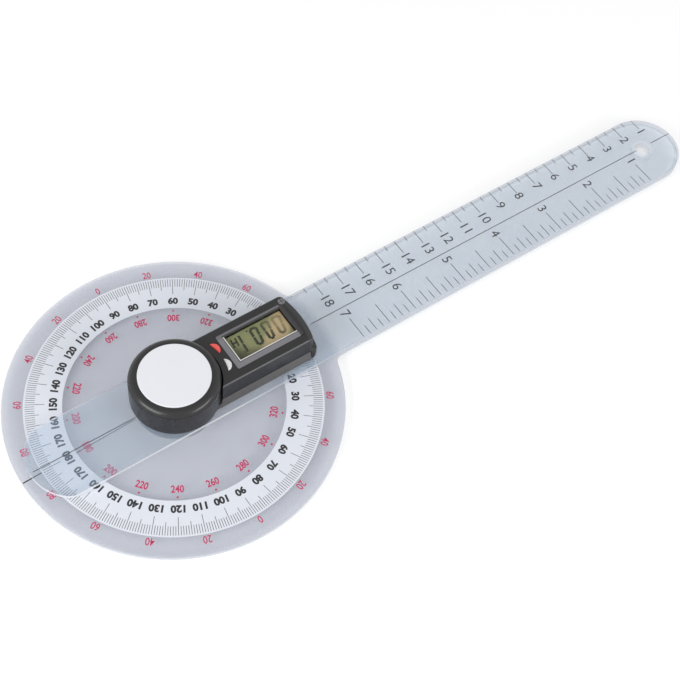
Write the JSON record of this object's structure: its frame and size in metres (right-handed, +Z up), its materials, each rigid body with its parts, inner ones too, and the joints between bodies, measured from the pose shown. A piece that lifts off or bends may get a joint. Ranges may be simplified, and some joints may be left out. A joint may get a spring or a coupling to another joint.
{
  "type": "angle finder with arms",
  "caption": "Clear round protractor with a fixed and a swinging ruler arm, a lock knob on the pivot and a small battery readout for the angle.",
  "frame": {"origin": "on the pivot axis, at the flat underside of the foot and of the pivot bolt's head", "axes": "+X from the pivot along the closed arms to their hanging holes, +Z up the pivot axis towards the lock knob, +Y across the arms towards the centimetre scale"},
  "size_m": [0.3186, 0.1292, 0.0213],
  "materials": {
    "clear_acrylic": "clear, slightly blue, printed scales",
    "case_black": "fine satin moulded",
    "knob_black": "fine satin moulded",
    "foot_black": "fine satin moulded",
    "face_silver": "plain silver-white, matt",
    "bezel_grey": "glossy",
    "window_clear": "clear, polished",
    "lcd_glass": "olive reflective display",
    "board_green": "solder mask",
    "resin_black": "cured drop",
    "switch_dark": "moulded",
    "strip_rubber": "soft",
    "red_plastic": "smooth",
    "white_plastic": "smooth",
    "steel": "plain",
    "dark_steel": "blackened",
    "brass": "turned",
    "slip_white": "waxy",
    "cell_steel": "polished"
  },
  "bodies": {
    "root": {"protractor_plate": "clear_acrylic", "base_flange": "foot_black", "base_screws": "steel", "clamp_ring": "steel", "slip_washer": "slip_white", "pivot_sleeve": "brass", "pivot_bolt": "steel", "encoder_rotor": "board_green", "rotor_clip": "dark_steel"},
    "moving_arm": {"moving_arm_plate": "clear_acrylic", "lower_case": "case_black", "upper_case": "case_black", "encoder_cover": "case_black", "friction_washer": "slip_white", "encoder_board": "board_green", "board_connector": "switch_dark", "main_board": "board_green", "controller_blob": "resin_black", "button_switches": "switch_dark", "lcd_panel": "lcd_glass", "zebra_strip": "strip_rubber", "display_bezel": "bezel_grey", "display_lens": "window_clear", "negative_contact": "steel", "positive_contact": "steel", "case_screws": "steel", "tray_screw": "dark_steel"},
    "lock_knob": {"lock_knob": "knob_black", "knob_insert": "brass", "knob_face": "face_silver"},
    "red_button": {"red_button": "red_plastic"},
    "white_button": {"white_button": "white_plastic"},
    "battery_door": {"battery_tray": "case_black", "coin_cell": "cell_steel"}
  },
  "joints": [
    {"name": "arm_swing", "type": "hinge", "parent": "root", "child": "moving_arm", "pos_m": [0, 0, 0], "axis": [0, 0, 1], "continuous": true},
    {"name": "knob_turn", "type": "hinge", "parent": "root", "child": "lock_knob", "pos_m": [0, 0, 0.014], "axis": [0, 0, 1], "range_deg": [0, 270]},
    {"name": "red_press", "type": "slide", "parent": "moving_arm", "child": "red_button", "axis": [0, 0, -1], "range_m": [0, 0.0006], "stiffness_N_per_m": 400, "springref_m": -0.0005},
    {"name": "white_press", "type": "slide", "parent": "moving_arm", "child": "white_button", "axis": [0, 0, -1], "range_m": [0, 0.0006], "stiffness_N_per_m": 400, "springref_m": -0.0005},
    {"name": "battery_slide", "type": "slide", "parent": "moving_arm", "child": "battery_door", "axis": [1, 0, 0], "range_m": [0, 0.024]}
  ]
}
